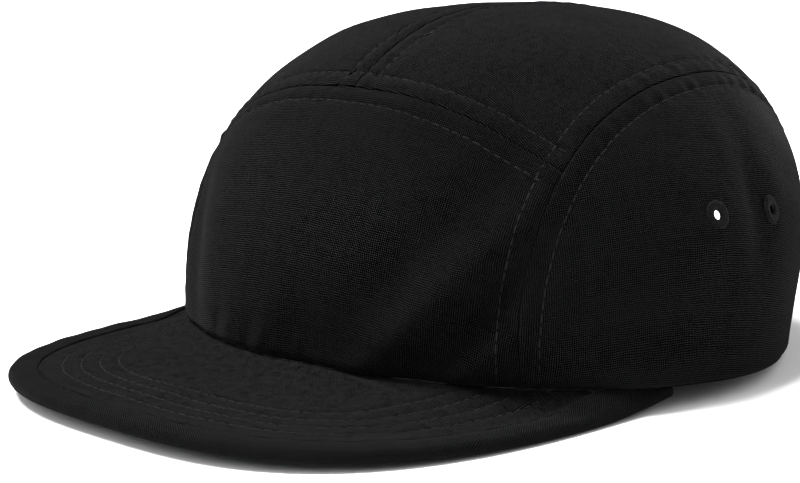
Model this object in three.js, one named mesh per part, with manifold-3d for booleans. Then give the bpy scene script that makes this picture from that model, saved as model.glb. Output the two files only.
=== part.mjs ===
// A five panel cap: a hollow cloth crown sewn from a front panel, two top panels and two side panels,
// a flat peak with a bound edge, four sewn eyelets, and a strap with a clasp across the opening at the back.
// Millimetres. The wearer looks along -Y, +X is the wearer's left, +Z is up, and the cap rests on Z = 0.

import * as THREE from 'three';
import { mergeVertices } from 'three/addons/utils/BufferGeometryUtils.js';
import Module from 'manifold-3d';

const wasm = await Module();
wasm.setup();

// Cloth and gaps
const CLOTH = 1.6; // wall of the crown, with its turned seams
const GAP = 0.3; // between two pieces that meet

// Crown, measured from its upright axis
const CROWN_WIDTH = 194;
const CROWN_FRONT = 91;
const CROWN_BACK = 101.7;
const CROWN_HEIGHT = 101.7;
const FRONT_ROUNDNESS = 2.04; // 2 is an ellipse in plan, less is more pointed
const BACK_ROUNDNESS = 1.89;
const RIM_LIFT = 10.5; // the rim's height over the surface at the front
const RIM_EASE = 1.19; // how the rim comes down towards the back
const RIM_FLAT = 0.88; // sine of the turn past which the rim lies on the surface
const TUCK_HEIGHT = 68; // the cloth pulls in below this height over the rim

// Seams in plan, measured from the same axis
const SIDE_SEAM_FRONT = 66.5; // half of the distance between the side seams at the front
const SIDE_SEAM_BACK = 49.6; // and at the back
const SIDE_SEAM_EASE = 3.5;
const FRONT_SEAM_REACH = 58.3; // from the axis forward to the front seam's middle
const FRONT_SEAM_SWEEP = 10.6; // how far its ends run back
const FRONT_SEAM_EASE = 2.7;

// Opening, strap and clasp at the back
const OPENING_WIDTH = 62;
const OPENING_HEIGHT = 50;
const STRAP_WIDTH = 18;
const STRAP_CLOTH = 1.6;
const STRAP_LIFT = 3; // from the rim up to the strap
const STRAP_HOLD = 11; // how far each end runs behind its panel
const CLASP_LENGTH = 9;
const CLASP_BAR = 1.5;

// Eyelets
const EYELET_DIAMETER = 8;
const EYELET_HOLE = 2.6;
const EYELET_PROUD = 0.5;
const EYELET_SPACING = 29.6;
const EYELET_SETBACK = 3; // the pair's middle, behind the crown's axis
const EYELET_ABOVE_RIM = 44.9;

// Peak
const PEAK_WIDTH = 176;
const PEAK_LENGTH = 60; // in front of the crown
const PEAK_SIDE = 26.4; // from the crown's axis forward to where the outline starts
const PEAK_SQUARENESS = 2.92; // 2 is an ellipse in plan, more is squarer
const PEAK_BOARD = 1.5; // board and cloth at the edge, where the binding wraps them
const PEAK_RISE = 0.03; // how steeply the top goes up from the edge, under the binding
const BINDING_CLOTH = 0.8;
const BINDING_WIDTH = 8;
const PEAK_ARCH = 2.9; // the middle of the peak's edge over the surface, which its sides rest on
const PEAK_ARCH_EASE = 3.4;
const PEAK_EASE = 2.4; // how late the top goes up to the crown
const PEAK_CORNER_LIFT = 2.4; // the edge's height where the outline starts, beside the crown
const PEAK_CORNER_RUN = 35; // from there forward to where the edge comes down to the surface
const PEAK_TUCK = 6; // how far the board is laid in under the crown before it is trimmed to it

// Soft dents and ridges of the crown, outwards where depth is above 0
const FOLD_DEPTH = 1;

// The crown's upright profile at five places, an eighth of the way round from one to the next.
// fullness: 2 is a round shoulder, more is squarer. tuck: how far the rim pulls in, as a share of the reach.
const PROFILES = [
  { facing: 'front', fullness: 2.09, tuck: 0 },
  { facing: 'front side', fullness: 2.25, tuck: 0.016 },
  { facing: 'side', fullness: 2.43, tuck: 0.034 },
  { facing: 'back side', fullness: 2.9, tuck: 0.095 },
  { facing: 'back', fullness: 3.05, tuck: 0.13 },
];

// turn: degrees round from +X. height, run and width: shares of the crown's height. tilt: degrees from level.
// depth: share of FOLD_DEPTH.
const FOLDS = [
  { name: 'slant ridge', turn: -53, height: 0.47, run: 0.26, width: 0.08, tilt: 56, depth: 0.9 },
  { name: 'slant hollow', turn: -49, height: 0.32, run: 0.2, width: 0.09, tilt: 62, depth: -0.9 },
  { name: 'brow ridge', turn: -71, height: 0.18, run: 0.16, width: 0.07, tilt: 80, depth: 0.5 },
  { name: 'brow hollow', turn: -79, height: 0.2, run: 0.2, width: 0.08, tilt: 96, depth: -0.6 },
  { name: 'far slant hollow', turn: -126, height: 0.36, run: 0.22, width: 0.09, tilt: 118, depth: -0.7 },
  { name: 'left side hollow', turn: -27, height: 0.16, run: 0.22, width: 0.07, tilt: -8, depth: -0.8 },
  { name: 'left side ridge', turn: -24, height: 0.29, run: 0.26, width: 0.08, tilt: -6, depth: 0.5 },
  { name: 'right side hollow', turn: -158, height: 0.18, run: 0.24, width: 0.08, tilt: 6, depth: -0.7 },
  { name: 'left back hollow', turn: 36, height: 0.24, run: 0.2, width: 0.09, tilt: 40, depth: -0.8 },
  { name: 'right back hollow', turn: 140, height: 0.26, run: 0.22, width: 0.09, tilt: -34, depth: -0.8 },
];

// Steps of the meshes
const CROWN_TURNS = 72;
const CROWN_RINGS = 15;
const PEAK_RIBS = 52;
const SEAM_STEPS = 20;
const STRAP_STEPS = 14;
const EYELET_SIDES = 20;

const clothFinish = { color: 0x18181a, roughness: 0.95, metalness: 0 };
const bindingFinish = { color: 0x151516, roughness: 0.95, metalness: 0 };
const threadFinish = { color: 0x101011, roughness: 0.8, metalness: 0 };
const claspFinish = { color: 0x121213, roughness: 0.45, metalness: 0 };

// Smooth curve through one column of a table whose rows are evenly spaced, mirrored past both ends.
function between(rows, column, share) {
  const last = rows.length - 1;
  const place = share * last;
  const first = Math.min(Math.floor(place), last - 1);
  const t = place - first;
  const [a, b, c, d] = [-1, 0, 1, 2].map((step) => {
    const row = Math.abs(first + step);
    return rows[row > last ? 2 * last - row : row][column];
  });
  return b + 0.5 * t * (c - a + t * (2 * a - 5 * b + 4 * c - d + t * (3 * (b - c) + d - a)));
}

// Height of the rim over the surface.
function rimLift(turn) {
  const share = Math.max(0, (RIM_FLAT - Math.sin(turn)) / (RIM_FLAT + 1));
  return RIM_LIFT * share ** RIM_EASE;
}

// The crown's smooth outside. turn goes round from +X, climb from 0 at the rim to a right angle at the top.
function skin(turn, climb) {
  const [aside, back] = [Math.cos(turn), Math.sin(turn)];
  const fromFront = Math.acos(THREE.MathUtils.clamp(-back, -1, 1)) / Math.PI;
  const fullness = between(PROFILES, 'fullness', fromFront);
  const tuck = between(PROFILES, 'tuck', fromFront);
  const [reach, roundness] = back < 0 ? [CROWN_FRONT, FRONT_ROUNDNESS] : [CROWN_BACK, BACK_ROUNDNESS];
  const wide = Math.abs(aside / (CROWN_WIDTH / 2)) ** roundness;
  const plan = (wide + Math.abs(back / reach) ** roundness) ** (-1 / roundness);
  const [level, upright] = [Math.max(0, Math.cos(climb)), Math.max(0, Math.sin(climb))];
  const profile = (level ** fullness + upright ** fullness) ** (-1 / fullness);
  const lift = rimLift(turn);
  const rise = (CROWN_HEIGHT - lift) * profile * upright;
  const low = Math.max(0, 1 - rise / TUCK_HEIGHT);
  const out = plan * profile * level * (1 - tuck * low * low);
  return new THREE.Vector3(out * aside, out * back, lift + rise);
}

// Direction straight out of the cloth.
function outOf(turn, climb) {
  const step = 0.002;
  const nearTop = Math.min(climb, Math.PI / 2 - 2 * step);
  const round = skin(turn + step, nearTop).sub(skin(turn - step, nearTop));
  const up = skin(turn, nearTop + step).sub(skin(turn, Math.max(nearTop - step, 0)));
  return round.cross(up).normalize();
}

// How far the folds push the cloth out at one place.
function foldAt(turn, height) {
  let sum = 0;
  for (const fold of FOLDS) {
    const aside = (turn - THREE.MathUtils.degToRad(fold.turn)) / (2 * Math.PI);
    const across = (aside - Math.round(aside)) * Math.PI * CROWN_WIDTH;
    const over = height - fold.height * CROWN_HEIGHT;
    const tilt = THREE.MathUtils.degToRad(fold.tilt);
    const run = (across * Math.cos(tilt) + over * Math.sin(tilt)) / (fold.run * CROWN_HEIGHT);
    const width = (over * Math.cos(tilt) - across * Math.sin(tilt)) / (fold.width * CROWN_HEIGHT);
    sum += FOLD_DEPTH * fold.depth * Math.exp(-run * run - width * width);
  }
  return sum;
}

// A point of the crown's cloth, depth millimetres in from its outside.
function crownPoint(turn, climb, depth) {
  const point = skin(turn, climb);
  point.addScaledVector(outOf(turn, climb), foldAt(turn, point.z) - depth);
  // The rim is cut level.
  return climb > 0 ? point : point.setZ(rimLift(turn));
}

// The climb at which the crown is this high over the surface.
function climbTo(turn, height) {
  let [low, high] = [0, Math.PI / 2];
  for (let i = 0; i < 24; i++) {
    const middle = (low + high) / 2;
    if (skin(turn, middle).z < height) low = middle;
    else high = middle;
  }
  return low;
}

// Half of the distance between the side seams, and the front seam's place, in plan.
function sideSeam(y) {
  const share = THREE.MathUtils.clamp((y + CROWN_FRONT) / (CROWN_FRONT + CROWN_BACK), 0, 1);
  return SIDE_SEAM_FRONT - (SIDE_SEAM_FRONT - SIDE_SEAM_BACK) * share ** SIDE_SEAM_EASE;
}

function frontSeam(x) {
  return FRONT_SEAM_SWEEP * Math.abs(x / SIDE_SEAM_FRONT) ** FRONT_SEAM_EASE - FRONT_SEAM_REACH;
}

// Geometry from points and corner numbers, turned so that its faces point out.
function closedBody(points, faces) {
  let volume = 0;
  for (let i = 0; i < faces.length; i += 3) {
    const [a, b, c] = [points[faces[i]], points[faces[i + 1]], points[faces[i + 2]]];
    volume += a.dot(b.clone().cross(c));
  }
  if (volume < 0) faces.reverse();
  return new THREE.BufferGeometry().setFromPoints(points).setIndex(faces);
}

// A body through a row of like loops of 2-D points, each of which `place` puts in space.
function loft(loops, place) {
  const count = loops[0].length;
  const points = loops.flatMap((loop, i) => loop.map((p) => place(i, p)));
  const faces = [];
  for (let i = 0; i + 1 < loops.length; i++) {
    for (let j = 0; j < count; j++) {
      const [a, b] = [i * count + j, i * count + ((j + 1) % count)];
      faces.push(a, b, b + count, a, b + count, a + count);
    }
  }
  // The caps take the same way round as the first loop, whichever way that is.
  const clockwise = THREE.ShapeUtils.isClockWise(loops[0]);
  const end = (loops.length - 1) * count;
  for (const [loop, from, flip] of [[loops[0], 0, !clockwise], [loops.at(-1), end, clockwise]]) {
    for (const cap of THREE.ShapeUtils.triangulateShape(loop.map((p) => p.clone()), [])) {
      const corners = cap.map((corner) => from + corner);
      const [a, b, c] = corners.map((corner) => loop[corner - from]);
      const turnsLeft = (b.x - a.x) * (c.y - a.y) - (b.y - a.y) * (c.x - a.x) > 0;
      faces.push(...(turnsLeft === flip ? corners.reverse() : corners));
    }
  }
  return closedBody(points, faces);
}

// An upright prism over an outline in plan.
function prism(outline, low, high) {
  const shape = new THREE.Shape(outline);
  const body = new THREE.ExtrudeGeometry(shape, { depth: high - low, steps: 1, bevelEnabled: false });
  return body.translate(0, 0, low);
}

function toSolid(geometry) {
  const bare = new THREE.BufferGeometry();
  bare.setAttribute('position', geometry.getAttribute('position'));
  bare.setIndex(geometry.getIndex());
  const merged = mergeVertices(bare, 1e-4);
  return new wasm.Manifold(
    new wasm.Mesh({
      numProp: 3,
      vertProperties: new Float32Array(merged.getAttribute('position').array),
      triVerts: new Uint32Array(merged.getIndex().array),
    }),
  );
}

function toGeometry(solid) {
  const mesh = solid.getMesh();
  const geometry = new THREE.BufferGeometry();
  geometry.setAttribute('position', new THREE.BufferAttribute(mesh.vertProperties, 3));
  geometry.setIndex(new THREE.BufferAttribute(mesh.triVerts, 1));
  geometry.computeVertexNormals();
  return geometry;
}

// The whole crown as one hollow shell, before it is cut into panels.
function crownShell() {
  const points = [];
  for (const depth of [0, CLOTH]) {
    for (let ring = 0; ring < CROWN_RINGS; ring++) {
      for (let i = 0; i < CROWN_TURNS; i++) {
        const turn = ((i + 0.5) / CROWN_TURNS) * 2 * Math.PI;
        points.push(crownPoint(turn, (ring / CROWN_RINGS) * (Math.PI / 2), depth));
      }
    }
    points.push(new THREE.Vector3(0, 0, CROWN_HEIGHT - depth));
  }
  const inside = CROWN_RINGS * CROWN_TURNS + 1;
  const faces = [];
  for (let i = 0; i < CROWN_TURNS; i++) {
    const next = (i + 1) % CROWN_TURNS;
    for (let ring = 0; ring < CROWN_RINGS; ring++) {
      const [a, b] = [ring * CROWN_TURNS + i, ring * CROWN_TURNS + next];
      if (ring === CROWN_RINGS - 1) {
        const top = inside - 1;
        faces.push(a, b, top, b + inside, a + inside, top + inside);
      } else {
        const [c, d] = [b + CROWN_TURNS, a + CROWN_TURNS];
        faces.push(a, b, c, a, c, d);
        faces.push(b + inside, a + inside, c + inside, c + inside, a + inside, d + inside);
      }
    }
    faces.push(next, i, i + inside, next, i + inside, next + inside);
  }
  return toSolid(closedBody(points, faces));
}

// The plan regions that cut the crown into its panels, each GAP / 2 back from its seams.
function planRegions() {
  const [front, back, aside] = [-2 * CROWN_FRONT, 2 * CROWN_BACK, CROWN_WIDTH];
  const steps = Array.from({ length: SEAM_STEPS + 1 }, (_, i) => i / SEAM_STEPS);
  const lengths = [front, ...steps.map((s) => THREE.MathUtils.lerp(-CROWN_FRONT, CROWN_BACK, s)), back];
  const widths = steps.map((s) => THREE.MathUtils.lerp(-aside, aside, s));
  const seam = (side, away) => lengths.map((y) => new THREE.Vector2(side * (sideSeam(y) + away), y));
  const corners = (...pairs) => pairs.map(([x, y]) => new THREE.Vector2(x, y));
  const across = (away) => widths.map((x) => new THREE.Vector2(x, frontSeam(x) + away));
  const cut = (outline) => toSolid(prism(outline, -CROWN_HEIGHT, 2 * CROWN_HEIGHT));
  const half = GAP / 2;
  const regions = {
    middle: cut([...seam(1, -half), ...seam(-1, -half).reverse()]),
    ahead: cut([...across(-half), ...corners([aside, front], [-aside, front])]),
    behind: cut([...across(half), ...corners([aside, back], [-aside, back])]),
  };
  for (const [name, side] of [['left', 1], ['right', -1]]) {
    regions['side_' + name] = cut([...seam(side, half), ...corners([side * aside, back], [side * aside, front])]);
    regions['top_' + name] = cut([...seam(side, -half), ...corners([side * half, back], [side * half, front])]);
  }
  return regions;
}

// The arch cut out of the back, as a prism along Y.
function backOpening() {
  const half = OPENING_WIDTH / 2;
  const shape = new THREE.Shape();
  shape.moveTo(-half, -CROWN_HEIGHT);
  shape.lineTo(half, -CROWN_HEIGHT);
  shape.lineTo(half, OPENING_HEIGHT - half);
  shape.absarc(0, OPENING_HEIGHT - half, half, 0, Math.PI, false);
  const depth = 2 * CROWN_BACK;
  const body = new THREE.ExtrudeGeometry(shape, { depth, steps: 1, bevelEnabled: false, curveSegments: 16 });
  return toSolid(body.rotateX(Math.PI / 2).translate(0, depth, 0));
}

// Where the two eyelets of a side sit: a point on the cloth and the direction out of it.
function eyeletPlaces(side) {
  return [['front', -1], ['back', 1]].map(([name, along]) => {
    const y = EYELET_SETBACK + (along * EYELET_SPACING) / 2;
    const fromLeft = Math.asin(y / (CROWN_WIDTH / 2));
    const turn = side > 0 ? fromLeft : Math.PI - fromLeft;
    const climb = climbTo(turn, rimLift(turn) + EYELET_ABOVE_RIM);
    return { name, point: crownPoint(turn, climb, 0), out: outOf(turn, climb) };
  });
}

// Turns a body made round the Y axis to stand on the cloth at one place.
function stand(geometry, { point, out }) {
  const turned = new THREE.Quaternion().setFromUnitVectors(new THREE.Vector3(0, 1, 0), out);
  return geometry.applyQuaternion(turned).translate(point.x, point.y, point.z);
}

function eyeletRing() {
  const [hole, edge] = [EYELET_HOLE / 2, EYELET_DIAMETER / 2];
  const middle = (hole + edge) / 2;
  const profile = [
    [hole, -CLOTH],
    [edge, -CLOTH],
    [edge, 0],
    [middle, EYELET_PROUD],
    [hole, 0],
    [hole, -CLOTH],
  ].map(([x, y]) => new THREE.Vector2(x, y));
  return new THREE.LatheGeometry(profile, EYELET_SIDES);
}

// The peak's outline in plan, from the left side (0) round the front to the right side (1).
function peakOutline(share) {
  const [aside, ahead] = [Math.cos(share * Math.PI), Math.sin(share * Math.PI)];
  const power = 2 / PEAK_SQUARENESS;
  const reach = CROWN_FRONT + PEAK_LENGTH - PEAK_SIDE;
  const x = Math.sign(aside) * (PEAK_WIDTH / 2) * Math.abs(aside) ** power;
  return new THREE.Vector2(x, -PEAK_SIDE - reach * Math.max(0, ahead) ** power);
}

// Direction into the peak, square to its outline.
function peakInward(share) {
  const along = peakOutline(Math.min(share + 1e-4, 1)).sub(peakOutline(Math.max(share - 1e-4, 0)));
  return new THREE.Vector2(-along.y, along.x).multiplyScalar(-1).normalize();
}

// Height of the peak's edge over the surface, at one point of its outline.
function edgeLift(edge) {
  const arch = 1 - Math.abs((2 * edge.x) / PEAK_WIDTH) ** PEAK_ARCH_EASE;
  const corner = Math.max(0, 1 + (edge.y + PEAK_SIDE) / PEAK_CORNER_RUN);
  return PEAK_ARCH * arch + PEAK_CORNER_LIFT * corner * corner;
}

const ribShares = Array.from({ length: PEAK_RIBS + 1 }, (_, i) => i / PEAK_RIBS);
const bindingHeight = PEAK_BOARD + 2 * (BINDING_CLOTH + GAP);

// The peak's board and cloth: ribs that fan out from the crown, each an upright loop.
function peakPlate() {
  const ribs = ribShares.map((share) => {
    const edge = peakOutline(share);
    const bottom = edgeLift(edge) + BINDING_CLOTH + GAP;
    const boardTop = (inward) => bottom + PEAK_BOARD + PEAK_RISE * inward;
    const turn = Math.atan2(edge.y, edge.x);
    const slant = Math.max(0.5, -peakInward(share).dot(edge) / edge.length());
    const rim = crownPoint(turn, 0, 0).setZ(0).length();
    const start = (2 * BINDING_CLOTH + GAP) / slant;
    const covered = (BINDING_WIDTH + GAP) / slant;
    const bare = covered + BINDING_CLOTH;
    const root = Math.max(edge.length() - rim, bare + BINDING_CLOTH);
    const rootTop = rimLift(turn) - GAP;
    const bareTop = Math.min(boardTop(BINDING_WIDTH) + BINDING_CLOTH, rootTop);
    const top = [
      [start, boardTop(2 * BINDING_CLOTH)],
      [covered, boardTop(BINDING_WIDTH)],
      [bare, bareTop],
      ...[1 / 3, 2 / 3, 1].map((s) => [
        THREE.MathUtils.lerp(bare, root, s),
        THREE.MathUtils.lerp(bareTop, rootTop, s ** PEAK_EASE),
      ]),
      [root + PEAK_TUCK, rootTop],
    ];
    const body = PEAK_BOARD + PEAK_RISE * BINDING_WIDTH + BINDING_CLOTH;
    const under = top.map(([inward, height]) => [inward, Math.max(bottom, height - body)]);
    const loop = [...top, ...under.reverse()];
    return { turn, loop: loop.map(([inward, height]) => new THREE.Vector2(edge.length() - inward, height)) };
  });
  return loft(
    ribs.map((rib) => rib.loop),
    (i, p) => new THREE.Vector3(p.x * Math.cos(ribs[i].turn), p.x * Math.sin(ribs[i].turn), p.y),
  );
}

// The binding: a folded strip that wraps the peak's edge and lies flat on the surface.
function bindingStrip() {
  const [top, bend] = [bindingHeight, 2 * BINDING_CLOTH];
  const section = [
    [BINDING_WIDTH, top],
    [bend, top],
    [0.3 * bend, top - 0.5 * bend],
    [0, top / 2],
    [0.3 * bend, 0.5 * bend],
    [bend, 0],
    [BINDING_WIDTH, 0],
    [BINDING_WIDTH, BINDING_CLOTH],
    [bend, BINDING_CLOTH],
    [bend, top - BINDING_CLOTH],
    [BINDING_WIDTH, top - BINDING_CLOTH],
  ].map(([inward, height]) => {
    const rise = height > top / 2 ? PEAK_RISE * inward : 0;
    return new THREE.Vector2(inward, height + rise);
  });
  return loft(
    ribShares.map(() => section),
    (i, p) => {
      const edge = peakOutline(ribShares[i]);
      const plan = edge.clone().addScaledVector(peakInward(ribShares[i]), p.x);
      return new THREE.Vector3(plan.x, plan.y, p.y + edgeLift(edge));
    },
  );
}

// The space inside the rim, which trims the peak and its binding to the crown.
function headSpace() {
  const outline = Array.from({ length: CROWN_TURNS }, (_, i) => {
    const point = crownPoint(((i + 0.5) / CROWN_TURNS) * 2 * Math.PI, 0, CLOTH);
    return new THREE.Vector2(point.x, point.y);
  });
  return toSolid(prism(outline, -CROWN_HEIGHT, CROWN_HEIGHT));
}

// A band that follows the crown at the back: halfLength each way from the middle, low to high over the
// surface, and near to far in from the crown's outside.
function backBand(halfLength, low, high, near, far) {
  const half = halfLength / crownPoint(Math.PI / 2, 0, 0).length();
  const heights = [0, 1 / 3, 2 / 3, 1].map((s) => THREE.MathUtils.lerp(low, high, s));
  const loop = [
    ...heights.map((height) => new THREE.Vector2(height, near)),
    ...heights.reverse().map((height) => new THREE.Vector2(height, far)),
  ];
  const turns = Array.from({ length: STRAP_STEPS + 1 }, (_, i) => {
    return Math.PI / 2 + half * ((2 * i) / STRAP_STEPS - 1);
  });
  return loft(
    turns.map(() => loop),
    (i, p) => crownPoint(turns[i], climbTo(turns[i], p.x), p.y),
  );
}

const strapNear = CLOTH + GAP;
const strapFar = strapNear + STRAP_CLOTH;
const strapTop = STRAP_LIFT + STRAP_WIDTH;

function closureStrap() {
  return backBand(OPENING_WIDTH / 2 + STRAP_HOLD, STRAP_LIFT, strapTop, strapNear, strapFar);
}

// A plain sleeve round the strap.
function closureClasp() {
  const [half, around] = [CLASP_LENGTH / 2, GAP + CLASP_BAR];
  const outer = backBand(half, STRAP_LIFT - around, strapTop + around, strapNear - around, strapFar + around);
  const slot = backBand(2 * half, STRAP_LIFT - GAP, strapTop + GAP, strapNear - GAP, strapFar + GAP);
  return toSolid(outer).subtract(toSolid(slot));
}

const assembly = new THREE.Group();

function addPiece(name, geometry, finish) {
  const mesh = new THREE.Mesh(geometry, new THREE.MeshStandardMaterial(finish));
  mesh.name = name;
  assembly.add(mesh);
}

// Panels
const crown = crownShell();
const regions = planRegions();
const rearCrown = crown.intersect(regions.behind).subtract(backOpening());
addPiece('front_panel', toGeometry(crown.intersect(regions.middle).intersect(regions.ahead)), clothFinish);
for (const [sideName, side] of [['left', 1], ['right', -1]]) {
  addPiece('top_panel_' + sideName, toGeometry(rearCrown.intersect(regions['top_' + sideName])), clothFinish);
  let panel = crown.intersect(regions['side_' + sideName]);
  for (const place of eyeletPlaces(side)) {
    const radius = EYELET_DIAMETER / 2 + GAP;
    const drill = new THREE.CylinderGeometry(radius, radius, EYELET_DIAMETER, EYELET_SIDES);
    panel = panel.subtract(toSolid(stand(drill, place)));
    addPiece('eyelet_' + sideName + '_' + place.name, stand(eyeletRing(), place), threadFinish);
  }
  addPiece('side_panel_' + sideName, toGeometry(panel), clothFinish);
}

// Peak
const hollow = headSpace();
addPiece('peak', toGeometry(toSolid(peakPlate()).subtract(hollow)), clothFinish);
addPiece('peak_binding', toGeometry(toSolid(bindingStrip()).subtract(hollow)), bindingFinish);

// Closure
addPiece('closure_strap', closureStrap(), bindingFinish);
addPiece('closure_clasp', toGeometry(closureClasp()), claspFinish);

// The part's origin is on the surface, under the middle of the whole cap.
const middle = new THREE.Box3().setFromObject(assembly).getCenter(new THREE.Vector3());
assembly.position.set(0, -middle.y, 0);

const group = new THREE.Group();
group.add(assembly);

export default group;
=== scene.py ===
# A five panel cap in black cotton canvas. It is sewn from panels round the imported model: a front panel, two
# top panels and two side panels, a bound peak with rows of stitches, four sewn eyelets, and a strap across
# the arched opening at the back. Metres, +Z up. The wearer looks along -Y, and +X is the wearer's left.

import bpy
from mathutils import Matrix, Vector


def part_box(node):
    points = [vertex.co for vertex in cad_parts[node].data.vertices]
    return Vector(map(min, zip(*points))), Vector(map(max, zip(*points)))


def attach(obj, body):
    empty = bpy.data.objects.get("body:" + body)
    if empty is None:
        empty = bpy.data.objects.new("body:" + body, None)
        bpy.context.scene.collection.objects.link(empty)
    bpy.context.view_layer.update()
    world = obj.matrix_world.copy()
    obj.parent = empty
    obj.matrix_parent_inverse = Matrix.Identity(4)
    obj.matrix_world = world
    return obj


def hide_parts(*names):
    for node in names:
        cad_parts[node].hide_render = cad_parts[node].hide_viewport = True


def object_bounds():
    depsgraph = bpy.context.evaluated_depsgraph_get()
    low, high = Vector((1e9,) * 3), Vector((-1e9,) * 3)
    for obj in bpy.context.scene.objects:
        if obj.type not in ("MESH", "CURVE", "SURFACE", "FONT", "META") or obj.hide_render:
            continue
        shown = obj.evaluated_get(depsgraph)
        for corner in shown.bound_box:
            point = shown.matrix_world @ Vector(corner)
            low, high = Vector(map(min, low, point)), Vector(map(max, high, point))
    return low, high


bl_info = {
    "name": "Five Panel Cap",
    "version": (1, 0, 0),
    "blender": (4, 5, 0),
    "location": "View3D > Sidebar > Cap",
    "description": "Sews a five panel cap from cloth panels, with a bound peak, eyelets and stitches",
    "category": "Add Mesh",
}

import math

import bpy
import numpy as np
from bpy.props import FloatProperty, FloatVectorProperty, IntProperty, PointerProperty
from mathutils import Matrix, Vector

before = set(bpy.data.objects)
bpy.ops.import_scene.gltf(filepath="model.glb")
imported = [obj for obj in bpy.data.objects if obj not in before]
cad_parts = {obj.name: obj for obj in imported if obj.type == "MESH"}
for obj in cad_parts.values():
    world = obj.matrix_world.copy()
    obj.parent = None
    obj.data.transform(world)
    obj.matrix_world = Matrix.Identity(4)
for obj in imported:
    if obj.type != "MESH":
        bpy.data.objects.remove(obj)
cad_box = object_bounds()
binding_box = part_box("peak_binding")
strap_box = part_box("closure_strap")
clasp_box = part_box("closure_clasp")
eyelet_boxes = {
    side: [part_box(f"eyelet_{side}_{end}") for end in ("front", "back")] for side in ("left", "right")
}

MM = 0.001

# Left open where one piece lies on another.
GAP = 0.3 * MM

STRAP_CLOTH = 1.6 * MM

# The wearer's sides, and which way each lies along X.
SIDES = (("left", 1), ("right", -1))

# The crown's upright profile at five places, an eighth of the way round from one to the next.
# Fullness: 2 is a round shoulder, more is squarer. Tuck: how far the rim pulls in, as a share of the reach.
PROFILES = (
    # facing, fullness, tuck
    ("front", 2.09, 0.0),
    ("front side", 2.25, 0.016),
    ("side", 2.43, 0.034),
    ("back side", 2.9, 0.095),
    ("back", 3.05, 0.13),
)

# Soft dents and ridges of the crown. Turn: degrees round from +X. Height, run and width: shares of the
# crown's height. Tilt: degrees from level. Depth: share of the crown's fold depth, outwards above 0.
FOLDS = (
    # name, turn, height, run, width, tilt, depth
    ("slant ridge", -53.5, 0.355, 0.42, 0.058, 41, 0.95),
    ("slant hollow", -49.5, 0.3, 0.16, 0.042, 54, -1.05),
    ("upper hollow", -58, 0.48, 0.3, 0.07, 42, -0.65),
    ("low ridge", -48.5, 0.175, 0.13, 0.046, 38, 0.95),
    ("small hollow", -61, 0.16, 0.09, 0.035, 70, -0.3),
    ("brow hollow", -84, 0.2, 0.14, 0.07, 96, -0.35),
    ("brow gather", -84, 0.15, 0.05, 0.02, 65, 0.09),
    ("left gather", -93, 0.15, 0.06, 0.02, 62, 0.1),
    ("left gather hollow", -96.5, 0.15, 0.06, 0.02, 66, -0.09),
    ("far gather", -103, 0.16, 0.05, 0.022, 72, 0.08),
    ("far gather hollow", -107, 0.16, 0.06, 0.025, 78, -0.09),
    ("far slant hollow", -126, 0.36, 0.22, 0.09, 118, -0.6),
    ("left side hollow", -24, 0.24, 0.2, 0.06, -5, -0.5),
    ("left side ridge", -26, 0.13, 0.2, 0.05, -5, 0.4),
    ("left temple ridge", -12, 0.42, 0.15, 0.1, 20, 0.45),
    ("left temple hollow", 6, 0.5, 0.2, 0.07, 75, -0.4),
    ("right side hollow", -158, 0.18, 0.24, 0.08, 6, -0.5),
    ("left back hollow", 36, 0.24, 0.2, 0.09, 40, -0.6),
    ("right back hollow", 140, 0.26, 0.22, 0.09, -34, -0.6),
)


def length(name, description, default):
    """A size in metres."""
    return FloatProperty(name=name, description=description, default=default, unit="LENGTH", precision=4)


def factor(name, description, default):
    """A number without a unit."""
    return FloatProperty(name=name, description=description, default=default, precision=3)


def colour(name, description, default):
    """A colour in linear light."""
    return FloatVectorProperty(
        name=name, description=description, default=default, subtype="COLOR", min=0, max=1, precision=4
    )


class CapCrownSizes(bpy.types.PropertyGroup):
    """The crown's own sizes, measured from its upright axis"""

    width: length("Width", "Widest, from side to side", 194 * MM)
    front: length("Front reach", "From the axis forward", 91 * MM)
    back: length("Back reach", "From the axis back", 101.7 * MM)
    height: length("Height", "From the surface to the top", cad_box[1].z)
    front_roundness: factor("Front roundness", "2 is an ellipse in plan", 2.04)
    back_roundness: factor("Back roundness", "2 is an ellipse in plan", 1.89)
    rim_lift: length("Rim lift", "The rim's height at the front", 10.5 * MM)
    rim_ease: factor("Rim ease", "How the rim comes down towards the back", 1.19)
    rim_flat: factor("Rim flat", "Sine of the turn past which the rim lies on the surface", 0.88)
    tuck_height: length("Tuck height", "The cloth pulls in below this height over the rim", 68 * MM)
    wall: length("Wall", "Cloth with its turned seams", 1.6 * MM)
    fold_depth: length("Fold depth", "Deepest soft dent", 3.8 * MM)
    wave_depth: length("Wave depth", "Faint unevenness of the whole cloth", 0.1 * MM)


class CapSeamSizes(bpy.types.PropertyGroup):
    """Where the panels meet, and how the cloth turns in there"""

    side_front: length("Side seam, front", "Half of the distance between the side seams", 66.5 * MM)
    side_back: length("Side seam, back", "The same at the back", 49.6 * MM)
    side_ease: factor("Side seam ease", "How late the side seams draw together", 3.5)
    front_reach: length("Front seam", "From the axis forward to the front seam's middle", 58.3 * MM)
    front_sweep: length("Front seam sweep", "How far its ends run back", 10.6 * MM)
    front_ease: factor("Front seam ease", "How late they do so", 2.7)
    opening_width: length("Opening width", "The arch at the back", 62 * MM)
    opening_height: length("Opening height", "The arch at the back", 50 * MM)
    roll: length("Roll", "Radius of the turned edge", 0.8 * MM)
    rim_roll: length("Rim roll", "Radius of the edge turned under at the rim", 2.6 * MM)
    puff: length("Puff", "How far the turned cloth stands up beside a seam", 0.28 * MM)
    pucker: length("Pucker", "Height of the small gathers along a seam", 0.24 * MM)
    lip: length("Lip", "How far the side panel's edge stands up at its seam", 0.3 * MM)


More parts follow.
